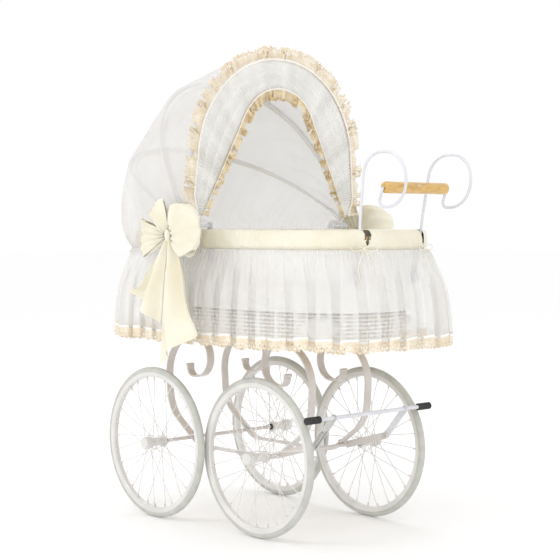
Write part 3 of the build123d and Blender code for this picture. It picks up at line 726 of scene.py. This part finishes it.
def hood_grid(lift, base_half, base_z, bulge, seed, loose):
    """The hood's cloth from the front hoop over the middle and rear hoops down to the rim.

    lift is how far the cloth lies outside the hoops, bulge how far it swells above the rim, and
    loose how much it wanders between hoops. Gives the grid, and for each row its station:
    0 at the front hoop, 1 middle, 2 rear, 3 at the rim.
    """
    shares = np.linspace(0, 1, HOOD_COLUMNS)
    station = np.concatenate([np.linspace(0, 2, 2 * BAY_ROWS + 1),
                              np.linspace(2, 3, BAY_ROWS + 13)[1:]])
    grid = []
    for at in station:
        if at <= 2:
            part = at % 1
            middle = spread(arch_line(HOOP_STEP * at + lift), shares)
            sag = 1 - 0.030 * 4 * part * (1 - part)
            slack = loose * np.sin(pi * part) * wander(shares * 0.5 + 0.13 * at, seed, (5, 9, 14, 23))
            middle[:, 1] *= sag
            middle[:, 0] *= 1 - 0.012 * 4 * part * (1 - part)
            spoke = middle / np.linalg.norm(middle, axis=1)[:, None]
            middle = middle + spoke * slack[:, None]
            degrees = HOOP_ANGLES[0] + (HOOP_ANGLES[2] - HOOP_ANGLES[0]) * at / 2
            grid.append(in_hood(middle, degrees))
            continue
        fall = at - 2
        base = base_points(shares, base_half, base_z)
        ends = np.clip(np.sin(pi * shares) * 3.5, 0, 1) ** 0.8
        outward = base - base_points(shares, base_half, base_z, -1.0)
        bend = base + outward * (bulge * ends)[:, None] + np.array([0, 0, 0.055])
        point = (1 - fall) ** 2 * grid[2 * BAY_ROWS] + 2 * fall * (1 - fall) * bend + fall ** 2 * base
        wave = np.cos(2 * pi * HOOD_GATHERS * shares + 3 * wander(shares, seed + 1))
        gathers = 0.0036 * np.exp(-(1 - fall) / 0.16) * wave
        drape = 0.0045 * np.sin(pi * fall) * wander(shares + 0.05 * fall, seed + 2, (11, 17, 26))
        grid.append(point + outward * (ends * (gathers + drape))[:, None])
    return np.stack(grid), station


def hood_cloth(name, points, material, slot, cut=None):
    """Makes a hood cloth from a grid of points and bakes its transform into its mesh."""
    piece = grid_piece(name, points, material, slot, cut=cut)
    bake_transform(piece)
    return piece


def make_hood():
    outer, station = hood_grid(0.0062, PAD_OUT + 0.002, pad_low.z - 0.002, 0.060, 50, 0.0040)
    cover = hood_cloth("hood_cover", outer, CHIFFON, "white_chiffon")
    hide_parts("front_cover", "middle_cover", "rear_cover")
    lining, station = hood_grid(-0.0085, PAD_OUT - 0.016, pad_high.z - 0.004, 0.030, 60, 0.0085)
    inner = hood_cloth("hood_lining", lining, VEIL, "white_cotton")
    length_of(outer[BAY_ROWS])
    length_of(lining[BAY_ROWS])
    for name, at in (("middle_hoop_casing", 1.0), ("rear_hoop_casing", 2.0)):
        row = int(at * BAY_ROWS)
        aside = np.linspace(-0.8, 0.8, 5)[:, None, None]
        beside = np.where(aside > 0, lining[row + 1] - lining[row], lining[row] - lining[row - 1])
        line = lining[row] + beside * aside
        middle = lining[row].mean(axis=0)
        inward = (middle - line) / np.linalg.norm(middle - line, axis=-1)[..., None]
        puff = np.array([0.0006, 0.0022, 0.0027, 0.0022, 0.0006])[:, None, None]
        casing = hood_cloth(name, line + inward * puff, GAUZE, "white_cotton")
        length_of(line[2])


def make_frill():
    """The small header that stands out under the hood's gathered base."""
    shares = np.linspace(0, 1, 1400)
    rows = []
    for down in np.linspace(0, 1, 6):
        wave = np.cos(2 * pi * HOOD_GATHERS * shares + 3 * wander(shares, 51))
        out = 0.004 + 0.007 * down + 0.0035 * down * wave
        rows.append(base_points(shares, PAD_OUT + 0.002, pad_low.z - 0.002 - 0.014 * down, out))
    frill = grid_piece("hood_base_frill", np.stack(rows), CHIFFON, "white_chiffon")
    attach(frill, "chassis")
    length_of(rows[-1])


BRIM_GATHERS = 150
BRIM_FOOT = 0.027                     # how far the brim ends above the hinge
FRILL_FULLNESS = 1.9                  # a frill's length over that of the edge it is sewn to


def make_brim():
    """The smocked band between the opening and the front hoop, with its two lace frills."""
    front = HOOP_ANGLES[0]
    shares = np.linspace(0, 1, BRIM_GATHERS * 6 + 1)
    inner = spread(opening_line(0.022), shares)
    outer = spread(arch_line(0, BRIM_FOOT, 0.282, 0.434, 0.262, 0.268), shares)
    across = np.linspace(0, 1, 28)
    rows = []
    for at in across:
        panel = np.abs(np.sin(3 * pi * at)) ** 0.7
        ridge = np.cos(2 * pi * BRIM_GATHERS * shares + 5 * wander(shares, 71, (5, 8, 13)) * (0.4 + at))
        depth = 0.0042 * (0.30 + 0.70 * panel) * ridge * (0.8 + 0.4 * wander(shares, 72, (9, 15, 22)))
        flat = inner + (outer - inner) * at
        rows.append(in_hood(flat, front, BRIM_AHEAD + 0.0058 + 0.0035 * panel + depth))
    band = grid_piece("brim_cloth", np.stack(rows), GAUZE, "white_chiffon")
    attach(band, "hood_front")
    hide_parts("brim_band")
    length_of(rows[-1])
    for number, at in enumerate((1 / 3, 2 / 3)):
        line = in_hood(inner + (outer - inner) * at, front, BRIM_AHEAD + 0.0068)
        stitch = tube(f"brim_stitching_{number}", line[::4], 0.0006, RIBBON, "white_cotton", 5)
        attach(stitch, "hood_front")

    def frill(name, start, end, pleats, swing, ahead, seed, node, thread):
        length = FRILL_FULLNESS * length_of(start)

        def pleat_phase(share):
            return 2 * pi * pleats * share + 6 * wander(share, seed, (4, 7, 11, 18))

        def place(distance, down):
            share = distance / length
            low, high = spread(start, share), spread(end, share)
            phase = pleat_phase(share)
            size = 0.8 + 0.5 * wander(share, seed + 1, (9, 13, 21, 34))
            reach = down * (1 - 0.10 * (1 + np.cos(2 * phase)) * down)
            flat = low + (high - low) * reach[..., None]
            side = np.gradient(spread(start, np.linspace(0, 1, 801)), axis=0)
            side /= np.linalg.norm(side, axis=1)[:, None]
            tangent = np.stack([np.interp(share, np.linspace(0, 1, 801), side[:, k]) for k in (0, 1)], -1)
            lap = 0.0062 * np.sin(2 * phase) * down * size + 0.003 * down * wander(share, seed + 2, (21, 33))
            flat = flat + tangent * lap[..., None]
            stand = ahead + swing * size * down ** 0.8 * np.cos(phase) + 0.0012 * (1 - down) * np.cos(phase)
            return in_hood(flat, front, stand)

        piece = lace_piece(name, place, length, thread=thread)
        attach(piece, "hood_front")
        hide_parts(node)
        header = np.linspace(0, 1, pleats * 12)
        bottom, top = spread(start, header), spread(end, header)
        stand = ahead + 0.0022 + 0.0008 * np.cos(pleat_phase(header))
        rows = [in_hood(bottom + (top - bottom) * at, front, stand) for at in (0.02, 0.08, 0.14)]
        tape = grid_piece(name + "_ribbon", np.stack(rows), RIBBON, "cream_satin")
        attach(tape, "hood_front")

    frill("outer_frill", arch_line(0, BRIM_FOOT, 0.280, 0.432, 0.260, 0.266),
          arch_line(0, BRIM_FOOT, 0.318, 0.470, 0.300, 0.290), 32, 0.0135,
          BRIM_AHEAD + 0.010, 80, "brim_outer_lace", LACE)
    frill("inner_frill", opening_line(0.030), opening_line(-0.006), 27, 0.0125,
          BRIM_AHEAD + 0.011, 85, "brim_inner_lace", GOLD_LACE)


# ---------------------------------------------------------------- bows
def bow_frame(knot, side):
    """Turns (along +X, up, outwards) into the pram's frame at a knot."""
    def place(along, up, out):
        return np.stack(np.broadcast_arrays(knot[0] + along, knot[1] + side * out, knot[2] + up), axis=-1)
    return place


def bow_loop(name, place, tilt, length, width, depth, puffed, seed, material, slot):
    """A ribbon loop that leaves the knot, opens like a fan and comes back. tilt is in degrees."""
    u = np.linspace(0.02, 0.98, 64)[:, None]
    v = np.linspace(-1, 1, 41)[None, :]
    reach = np.sin(pi * u) ** 0.8
    layer = np.cos(pi * u)
    away = length * reach * (1 - (0.08 + 0.26 * puffed) * v * v) + 0.004
    fan = 0.13 + 0.87 * reach ** 1.25
    ball = (0.13 + 0.87 * np.sin(pi / 2 * np.minimum(1, 1.7 * reach))) * (1 - 0.22 * reach ** 3)
    half = width / 2 * (fan + (ball - fan) * puffed)
    crease = 0.0060 * np.cos(4.2 * pi * v + wander(u, seed, (1, 2)) * 1.6) * (1 - 0.6 * reach)
    crease = crease * (1 - 0.45 * puffed)
    dent = 0.0050 * (1 + 0.9 * puffed) * reach * np.sin(2.2 * v + 5 * u + seed) * np.cos(1.4 * v)
    out = depth * layer * reach ** 0.55 * (1 - 0.25 * v * v) + crease + dent
    up = half * v * (1 + 0.06 * np.sin(5 * u + seed))
    turn = radians(tilt)
    points = place(away * cos(turn) - up * sin(turn), away * sin(turn) + up * cos(turn), out)
    piece = grid_piece(name, points, material, slot)
    return piece, length_of(points[:, 20])


def bow_tail(name, place, spine, widths, fold, cut, seed, material, slot):
    """A hanging ribbon end. spine lists (along, up, out) points; cut slants its end."""
    t = np.linspace(0, 1, 60)
    eased = eased_line(spine, len(t), mode="reflect", reflect_type="odd").T
    half = np.interp(t, np.linspace(0, 1, len(spine)), widths) / 2
    v = np.linspace(-1, 1, 25)[None, :]
    t = t[:, None]
    reach = eased[0][:, None] + half[:, None] * v
    slant = cut * v * smooth((t - 0.55) / 0.45)
    drop = eased[1][:, None] + slant
    pleat = (fold * (np.cos(4.4 * v + 1.1 * np.sin(seed + 3 * t)) - 0.3)
             + 0.0026 * np.sin(7 * t + 3 * v + seed))
    points = place(reach, drop, eased[2][:, None] + pleat * (0.4 + 0.6 * t))
    piece = grid_piece(name, points, material, slot)
    return piece, length_of(points[:, 12])


def knot_piece(name, place, size, material, slot):
    """The pleated wrap at the middle of a bow."""
    rows = np.linspace(-1, 1, 24)[:, None]
    turn = 2 * pi * around(36)[None, :]
    bulge = (1 - 0.35 * rows ** 2) * (1 + 0.06 * np.cos(5 * turn + 2 * rows))
    points = place(size * 0.62 * bulge * np.cos(turn), size * rows,
                   size * 0.55 * bulge * np.sin(turn) + size * 0.25)
    return grid_piece(name, points, material, slot, closed=True)


def make_bow(side, label):
    low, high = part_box(label)
    outer = max(abs(low.y), abs(high.y))
    knot = (HINGE[0] - 0.015, side * (outer - 0.016), 0.752)
    place = bow_frame(knot, side)
    wrap = knot_piece(label + "_knot", place, 0.014, SATIN, "cream_satin")
    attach(wrap, "chassis")
    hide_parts(label)
    share, turn = np.linspace(0, 1, 24)[:, None], 2 * pi * around(30)[None, :]
    rolled = (1 - 0.3 * share) * (1 + 0.07 * np.cos(5 * turn + 2 * share))
    points = place(0.013 * rolled * np.cos(turn), 0.009 * rolled * np.sin(turn) - 0.006 * (1 - share),
                   (PAD_OUT[1] - 0.004 - abs(knot[1])) * (1 - share))
    stay = grid_piece(label + "_stay", points, SATIN, "cream_satin", closed=True)
    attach(stay, "chassis")
    length_of(points[:, 0])
    loops = (("loop_back", 184, 0.112, 0.105, 0.008, 0.1, 3), ("loop_front", 14, 0.126, 0.142, 0.030, 1.0, 5),
             ("loop_ear", 124, 0.096, 0.080, 0.006, 0.3, 8))
    for word, tilt, length, width, depth, puffed, seed in loops:
        loop, size = bow_loop(f"{label}_{word}", place, tilt, length, width, depth, puffed, seed,
                              SATIN, "cream_satin")
        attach(loop, "chassis")
    tails = (("tail_back", [(-0.002, -0.006, 0), (-0.045, -0.075, 0.002), (-0.085, -0.145, 0.004),
                            (-0.105, -0.185, 0.006)],
              (0.020, 0.058, 0.084, 0.092), 0.017, -0.040, 2),
             ("tail_front", [(0.004, -0.008, 0.002), (0.014, -0.090, 0.004), (0.022, -0.180, 0.006),
                             (0.032, -0.280, 0.010)],
              (0.022, 0.084, 0.130, 0.168), 0.021, 0.046, 6))
    for word, spine, widths, fold, cut, seed in tails:
        tail, size = bow_tail(f"{label}_{word}", place, spine, widths, fold, cut, seed, SATIN, "cream_satin")
        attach(tail, "chassis")


# ---------------------------------------------------------------- ties at the handle rods
TIE_HALF = 0.0016                     # half the width of a tie's ribbon


def make_ties():
    """A thin ribbon tied in a bow under the pad at each handle rod."""
    knot_z = pad_low.z + 0.003
    for label, side in (("left", -1), ("right", 1)):
        handle_low, handle_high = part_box(f"{label}_handle_rod")
        foot_y = min(abs(handle_low.y), abs(handle_high.y)) + 0.002
        foot_y = side * foot_y - 0.011
        turn = float(np.arctan2(foot_y, (1 - abs(foot_y / PAD_OUT[1]) ** 3) ** (1 / 3) * PAD_OUT[0]))
        base = plan(np.array(turn), PAD_OUT[0], PAD_OUT[1], knot_z, 0.004)
        ahead = plan(np.array(turn), PAD_OUT[0], PAD_OUT[1], knot_z, 1.004) - base
        beside = np.array([-ahead[1], ahead[0], 0.0])

        def at(along, up, out):
            return base + beside * along + ahead * out + np.array([0, 0, up])

        strands = []
        for way in (-1, 1):
            sway = 0.006 * way
            strands.append([at(0, 0, 0), at(way * 0.010, 0.004, 0.004), at(way * 0.026, 0.010, 0.007),
                            at(way * 0.036, 0.006, 0.008), at(way * 0.034, -0.003, 0.008),
                            at(way * 0.020, -0.006, 0.007), at(way * 0.008, -0.003, 0.005),
                            at(0, 0, 0.003)])
            strands.append([at(0, 0, 0.003), at(way * 0.008, -0.016, 0.008),
                            at(way * 0.013 + sway, -0.045, 0.013), at(way * 0.010 + sway, -0.078, 0.020),
                            at(way * 0.016 + sway, -0.108 - 0.012 * way, 0.027)])
        for number, points in enumerate(strands):
            line = eased_line(points, 48, mode="edge")
            spokes = tube_points(line, np.full(len(line), TIE_HALF), 8) - line[:, None]
            flatten = 1 - 0.55 * np.abs((spokes @ ahead)[..., None] / TIE_HALF)
            strand = grid_piece(f"{label}_tie_{number}", line[:, None] + spokes * flatten, SATIN,
                                "cream_satin", closed=True)
            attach(strand, "chassis")
            if number == 0 and side < 0:
                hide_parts("handle_ties")
        turns_at = 2 * pi * around(24)[None, :]
        rows = np.linspace(-1, 1, 14)[:, None]
        bulge = np.sqrt(np.clip(1.08 - rows ** 2, 0.05, 1))
        knot = (base + ahead * (0.004 + 0.0035 * bulge * np.cos(turns_at))[..., None]
                + beside * (0.0042 * rows * np.ones_like(turns_at))[..., None]
                + np.array([0, 0, 1]) * (0.0045 * bulge * np.sin(turns_at))[..., None])
        wrap = grid_piece(f"{label}_tie_knot", knot, SATIN, "cream_satin", closed=True)
        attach(wrap, "chassis")


# ---------------------------------------------------------------- brake, wheels and grip trim
def lathe(name, centre, axis, profile, material, slot, sides=40):
    """A turned piece. profile lists (along the axis, radius) from a centre."""
    axis = np.array(axis, float) / np.linalg.norm(axis)
    first = np.cross(axis, [0.31, 0.13, 0.94])
    first /= np.linalg.norm(first)
    second = np.cross(axis, first)
    turn = 2 * pi * around(sides)
    ring = np.cos(turn)[:, None] * first + np.sin(turn)[:, None] * second
    rows = [np.array(centre) + axis * along + ring * max(radius, 1e-5) for along, radius in profile]
    return grid_piece(name, np.stack(rows), material, slot, closed=True)


PAD_RIBS = 9


def make_brake_pads():
    """The two black rubber sleeves at the ends of the brake bar, ribbed round."""
    low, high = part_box("brake_pads")
    middle = ((low.x + high.x) / 2, 0, (low.z + high.z) / 2)
    radius = (high.z - low.z) / 2
    bar_low, bar_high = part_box("brake_bar")
    core = (bar_high.z - bar_low.z) / 2
    first, last = high.y - 0.047, high.y
    for side, label in ((-1, "left"), (1, "right")):
        profile = [(first, core + 0.0002), (first, radius - 0.0012), (first + 0.0012, radius)]
        step = (last - first - 0.008) / PAD_RIBS
        for rib in range(PAD_RIBS):
            start = first + 0.003 + rib * (last - first - 0.008) / PAD_RIBS
            profile += [(start + step * 0.15, radius), (start + step * 0.3, radius - 0.0011),
                        (start + step * 0.6, radius - 0.0011), (start + step * 0.75, radius)]
        profile += [(last - 0.0025, radius), (last - 0.0006, radius - 0.0018),
                    (last, radius - 0.004), (last, 0)]
        pad = lathe(f"{label}_brake_pad", middle, (0, side, 0), profile, RUBBER, "black_rubber", 48)
        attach(pad, "foot_brake")
        if side < 0:
            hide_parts("brake_pads")


def make_spring():
    """The brake's tension spring: a close coil with a hook at each end, from its bracket to the lever."""
    low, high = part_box("brake_spring")
    y = (low.y + high.y) / 2
    start, end = np.array([low.x + 0.005, y, low.z + 0.004]), np.array([high.x - 0.005, y, high.z - 0.004])
    axis = (end - start) / np.linalg.norm(end - start)
    span = np.linalg.norm(end - start)
    up = np.array([-axis[2], 0, axis[0]])
    side = np.cross(axis, up)
    coils, wire, radius = 34, 0.0008, 0.0036

    def hook(at, way):
        return [at + axis * way * (0.008 - 0.003 * k) + up * 0.003 * sin(k * 1.2) for k in (2, 1)]

    line = []
    for share in np.linspace(0, 1, coils * 14):
        turn = 2 * pi * coils * share
        tight = radius * (0.35 + 0.65 * min(1, share / 0.04, (1 - share) / 0.04))
        line.append(start + axis * (0.008 + share * (span - 0.016))
                    + tight * (up * cos(turn) + side * sin(turn)))
    path = np.array(hook(start, 1) + line + hook(end, -1)[::-1])
    spring = tube("brake_spring_coil", path, wire, ZINC, "zinc", 6)
    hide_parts("brake_spring")
    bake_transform(spring)


SPOKES = 28                           # as in the CAD
SPOKE_END = 0.1745                    # the spokes' ends, from the wheel's middle


def make_wheel_trim():
    """A nipple where each spoke meets its rim, and an oiler button on each hub."""
    for name in ("front_left", "front_right", "rear_left", "rear_right"):
        low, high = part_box(name + "_rim")
        centre = np.array([(low.x + high.x) / 2, (low.y + high.y) / 2, (low.z + high.z) / 2])
        side = 1 if centre[1] > 0 else -1
        rings = []
        for number in range(SPOKES):
            turn = 2 * pi * number / SPOKES
            row = number % 2
            lean = 1 if (number // 2) % 2 else -1
            rim_w = (2 * row - 1) * 0.0022 + lean * 0.0011
            at = centre + np.array([SPOKE_END * cos(turn), side * rim_w, SPOKE_END * sin(turn)])
            inward = np.array([-cos(turn), 0, -sin(turn)])
            path = [at, at + inward * 0.002, at + inward * 0.008, at + inward * 0.010]
            rings.append(tube_points(path, np.array([0.0026, 0.0026, 0.0018, 0.0013]), 8))
        nipples = many_piece(name + "_nipples", rings, SPOKE, "white_enamel", closed=True)
        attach(nipples, name + "_wheel")
        top = centre + np.array([0.0, side * 0.0215, 0.0105])
        oiler = lathe(name + "_oiler", top, (0, 0, 1),
                      [(0, 0.0028), (0.0028, 0.0028), (0.0034, 0.0034), (0.0048, 0.0032),
                       (0.0056, 0.002), (0.0058, 0)],
                      ZINC, "zinc", 20)
        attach(oiler, name + "_wheel")


def make_grip_screw():
    low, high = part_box("wooden_grip")
    centre = ((low.x + high.x) / 2, (low.y + high.y) / 2, (low.z + high.z) / 2)
    radius = (high.z - low.z) / 2
    screw = lathe("grip_screw", centre, (0.92, -0.10, 0.38),
                  [(radius - 0.0012, 0.0038), (radius - 0.0002, 0.0036), (radius + 0.0004, 0.0026),
                   (radius + 0.0002, 0.0008), (radius, 0)], ZINC, "zinc", 24)
    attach(screw, "chassis")


# ---------------------------------------------------------------- bedding
def puff(piece, cell, pressure, cap, frames=18):
    """Swells a closed piece as cloth under pressure, and keeps the result."""
    scene = bpy.context.scene
    remesh = piece.modifiers.new("remesh", "REMESH")
    remesh.mode, remesh.voxel_size = "VOXEL", cell
    apply_modifiers(piece)
    rest = np.array([v.co for v in piece.data.vertices])
    simulation = piece.modifiers.new("cloth", "CLOTH")
    simulation.settings.use_pressure = True
    simulation.settings.uniform_pressure_force = pressure
    simulation.settings.effector_weights.gravity = 0
    for number in range(1, frames + 1):
        scene.frame_set(number)
    apply_modifiers(piece)
    scene.frame_set(1)
    moved = np.array([v.co for v in piece.data.vertices]) - rest
    size = np.linalg.norm(moved, axis=1)[:, None]
    moved *= np.minimum(1, cap / np.maximum(size, 1e-9))
    piece.data.vertices.foreach_set("co", (rest + moved).astype(np.float32).ravel())
    smooth_faces(piece)


def apply_modifiers(piece):
    shape = bpy.data.meshes.new_from_object(piece.evaluated_get(bpy.context.evaluated_depsgraph_get()))
    piece.modifiers.clear()
    old = piece.data
    piece.data = shape
    bpy.data.meshes.remove(old)


def cushion(name, low, high, power, droop, seed, material, slot, dent=None):
    """A crowned cushion that fills a box: its sides pull in between its corners."""
    middle, half = (np.array(low) + np.array(high)) / 2, (np.array(high) - np.array(low)) / 2
    u, v = np.meshgrid(np.linspace(-1, 1, 61), np.linspace(-1, 1, 61), indexing="ij")
    x = u * (1 - 0.07 * (1 - v * v) * np.abs(u) ** 3)
    y = v * (1 - 0.07 * (1 - u * u) * np.abs(v) ** 3)
    crown = (np.clip(1 - np.abs(u) ** power, 0, 1) * np.clip(1 - np.abs(v) ** power, 0, 1)) ** 0.5
    ripple = 0.02 * np.sin(9 * u + seed) * np.cos(7 * v + 2 * seed) * crown
    top = crown * (1 + ripple)
    if dent is not None:
        top = top - dent * np.exp(-((u * 1.6) ** 2 + (v * 1.3) ** 2))
    flat = -crown * droop
    upper = np.stack([middle[0] + x * half[0], middle[1] + y * half[1], middle[2] + top * half[2]], axis=-1)
    lower = np.stack([middle[0] + x * half[0], middle[1] + y * half[1], middle[2] + flat * half[2]], axis=-1)
    faces = grid_faces(61, 61)
    count = 61 * 61
    points = np.concatenate([upper.reshape(-1, 3), lower.reshape(-1, 3)])
    piece = mesh_piece(name, points, np.concatenate([faces, faces[:, ::-1] + count]), material, slot)
    weld = piece.modifiers.new("weld", "WELD")
    weld.merge_threshold = 1e-5
    apply_modifiers(piece)
    return piece


def make_bedding():
    for node, cell, pressure, cap, power, droop, dent, slot, material in (
            ("mattress", 0.008, 2.0, 0.004, 10, 1.0, None, "white_cotton", COTTON),
            ("pillow", 0.005, 4.0, 0.006, 3.2, 0.95, 0.22, "white_cotton", COTTON),
            ("quilt", 0.006, 3.0, 0.005, 6, 1.0, None, "cream_satin", SATIN)):
        low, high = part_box(node)
        piece = cushion(node + "_cloth", low, high, power, droop, len(node), material, slot, dent)
        puff(piece, cell, pressure, cap)
        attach(piece, "chassis")
        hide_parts(node)


# ---------------------------------------------------------------- camera, light, floor
def make_stage():
    mesh = bpy.data.meshes.new("floor")
    mesh.from_pydata([(-30, -30, 0), (30, -30, 0), (30, 30, 0), (-30, 30, 0)], [], [(0, 1, 2, 3)])
    floor = link("floor", mesh)
    mesh.materials.append(new_material("floor", (0.99, 0.99, 0.99), 0.9)[0])
    world = bpy.data.worlds.new("studio")
    world.use_nodes = True
    back = world.node_tree.nodes["Background"]
    back.inputs["Color"].default_value = (1, 1, 1, 1)
    back.inputs["Strength"].default_value = 1.0
    bpy.context.scene.world = world
    bpy.context.scene.view_settings.view_transform = "Standard"
    for name, place, size, power in (("key", (-0.6, -3.4, 3.0), 1.2, 24), ("fill", (3.8, 1.0, 2.4), 2.5, 8),
                                     ("back", (-3.0, 1.5, 2.8), 2.0, 14),
                                     ("front", (3.1, -3.3, 1.5), 2.0, 20)):
        lamp = bpy.data.lights.new(name, "AREA")
        lamp.size, lamp.energy = size, power
        light = link(name, lamp)
        light.location = place
        light.rotation_euler = (Vector((0, 0, 0.6)) - Vector(place)).to_track_quat("-Z", "Y").to_euler()


def make_camera():
    data = bpy.data.cameras.new("camera")
    data.lens, data.sensor_width = 91.1, 36
    camera = link("camera", data)
    camera.location = (2.7107, -2.538, 0.780)
    camera.rotation_euler = (radians(90 - 2.265), 0, radians(47.094))
    bpy.context.scene.camera = camera


make_camera()
make_stage()
finish_cad_nodes()
make_skirt()
make_flap()
make_wicker()
make_border()
make_rim_pad()
make_liner()
make_hood()
make_frill()
make_brim()
make_bow(-1, "left_bow")
make_bow(1, "right_bow")
make_ties()
make_brake_pads()
make_spring()
make_wheel_trim()
make_grip_screw()
make_bedding()
